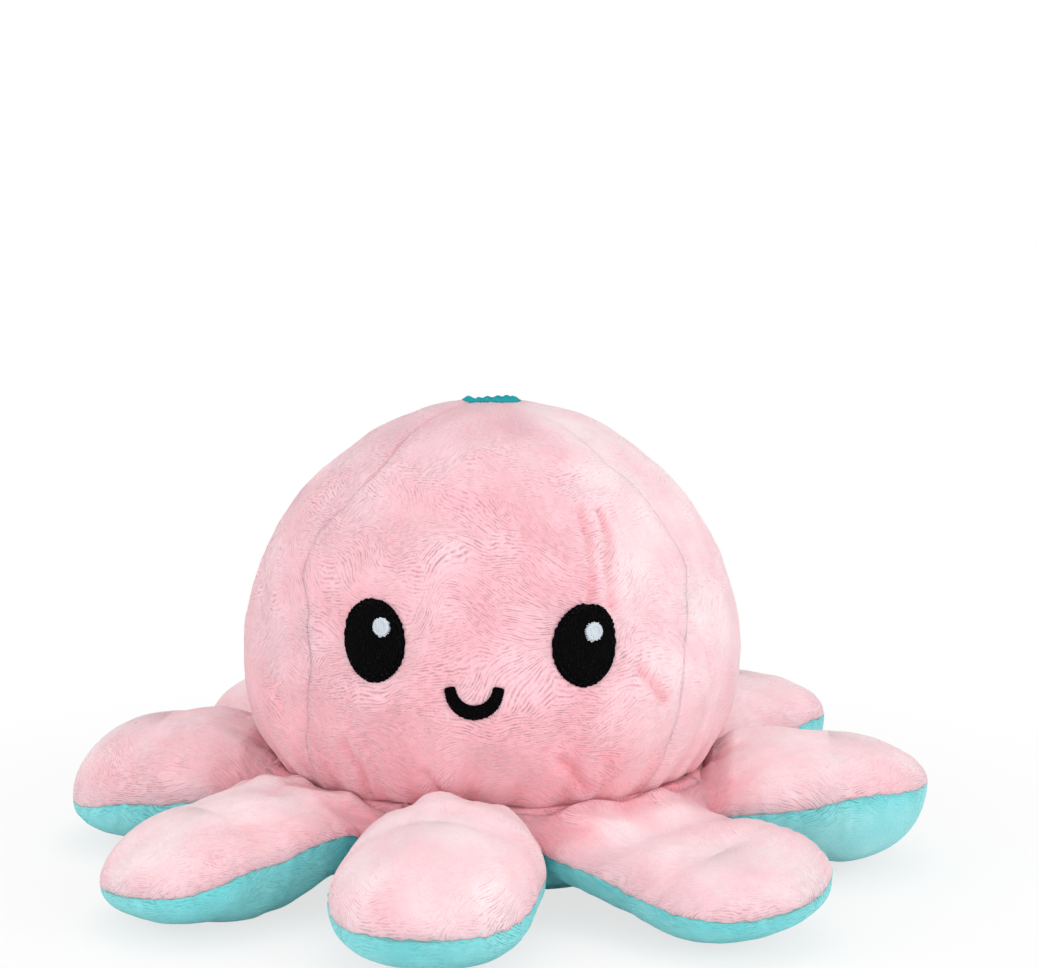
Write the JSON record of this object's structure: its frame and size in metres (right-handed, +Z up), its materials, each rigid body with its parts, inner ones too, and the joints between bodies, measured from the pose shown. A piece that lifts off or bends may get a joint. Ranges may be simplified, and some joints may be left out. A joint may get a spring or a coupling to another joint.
{
  "type": "plush octopus",
  "caption": "Soft reversible octopus: a round stuffed head with a smiling embroidered face over plump arms that lift and droop, and a contrasting lining in the hollow under it.",
  "frame": {"origin": "on the floor under the middle of the head, at the bottom centre of the bounding box", "axes": "+Z up through the crown; the face looks along -Y, turned 5 degrees towards +X from the front arm, arm_1, which points along -Y; +X is the octopus's left"},
  "size_m": [0.2, 0.2, 0.1062],
  "materials": {
    "pink_pile": "matte",
    "teal_pile": "matte",
    "fibre_fill": "matte",
    "black_thread": "satin",
    "white_thread": "satin"
  },
  "bodies": {
    "head": {"head_gore_front": "pink_pile", "head_gore_right": "pink_pile", "head_gore_back": "pink_pile", "head_gore_left": "pink_pile", "lining_gore_front": "teal_pile", "lining_gore_right": "teal_pile", "lining_gore_back": "teal_pile", "lining_gore_left": "teal_pile", "head_stuffing": "fibre_fill", "skirt_top": "pink_pile", "skirt_under": "teal_pile", "eye_left": "black_thread", "eye_right": "black_thread", "eye_glint_left": "white_thread", "eye_glint_right": "white_thread", "smile": "black_thread", "lining_eye_left": "black_thread", "lining_eye_right": "black_thread", "lining_eye_glint_left": "white_thread", "lining_eye_glint_right": "white_thread", "lining_frown": "black_thread", "crown_tack": "teal_pile", "lining_crown_tack": "pink_pile", "neck_seam_thread": "pink_pile", "mouth_seam_thread": "teal_pile"},
    "arm_1": {"arm_1_top_cover": "pink_pile", "arm_1_under_cover": "teal_pile", "arm_1_stuffing": "fibre_fill"},
    "arm_2": {"arm_2_top_cover": "pink_pile", "arm_2_under_cover": "teal_pile", "arm_2_stuffing": "fibre_fill"},
    "arm_3": {"arm_3_top_cover": "pink_pile", "arm_3_under_cover": "teal_pile", "arm_3_stuffing": "fibre_fill"},
    "arm_4": {"arm_4_top_cover": "pink_pile", "arm_4_under_cover": "teal_pile", "arm_4_stuffing": "fibre_fill"},
    "arm_5": {"arm_5_top_cover": "pink_pile", "arm_5_under_cover": "teal_pile", "arm_5_stuffing": "fibre_fill"},
    "arm_6": {"arm_6_top_cover": "pink_pile", "arm_6_under_cover": "teal_pile", "arm_6_stuffing": "fibre_fill"},
    "arm_7": {"arm_7_top_cover": "pink_pile", "arm_7_under_cover": "teal_pile", "arm_7_stuffing": "fibre_fill"},
    "arm_8": {"arm_8_top_cover": "pink_pile", "arm_8_under_cover": "teal_pile", "arm_8_stuffing": "fibre_fill"}
  },
  "joints": [
    {"name": "arm_1_lift", "type": "hinge", "parent": "head", "child": "arm_1", "pos_m": [0, -0.0515, 0.013], "axis": [-1, 0, 0], "range_deg": [-30, 35]},
    {"name": "arm_2_lift", "type": "hinge", "parent": "head", "child": "arm_2", "pos_m": [0.03642, -0.03642, 0.013], "axis": [-0.7071, -0.7071, 0], "range_deg": [-30, 35]},
    {"name": "arm_3_lift", "type": "hinge", "parent": "head", "child": "arm_3", "pos_m": [0.0515, 0, 0.013], "axis": [0, -1, 0], "range_deg": [-30, 35]},
    {"name": "arm_4_lift", "type": "hinge", "parent": "head", "child": "arm_4", "pos_m": [0.03642, 0.03642, 0.013], "axis": [0.7071, -0.7071, 0], "range_deg": [-30, 35]},
    {"name": "arm_5_lift", "type": "hinge", "parent": "head", "child": "arm_5", "pos_m": [0, 0.0515, 0.013], "axis": [1, 0, 0], "range_deg": [-30, 35]},
    {"name": "arm_6_lift", "type": "hinge", "parent": "head", "child": "arm_6", "pos_m": [-0.03642, 0.03642, 0.013], "axis": [0.7071, 0.7071, 0], "range_deg": [-30, 35]},
    {"name": "arm_7_lift", "type": "hinge", "parent": "head", "child": "arm_7", "pos_m": [-0.0515, 0, 0.013], "axis": [0, 1, 0], "range_deg": [-30, 35]},
    {"name": "arm_8_lift", "type": "hinge", "parent": "head", "child": "arm_8", "pos_m": [-0.03642, -0.03642, 0.013], "axis": [-0.7071, 0.7071, 0], "range_deg": [-30, 35]}
  ]
}
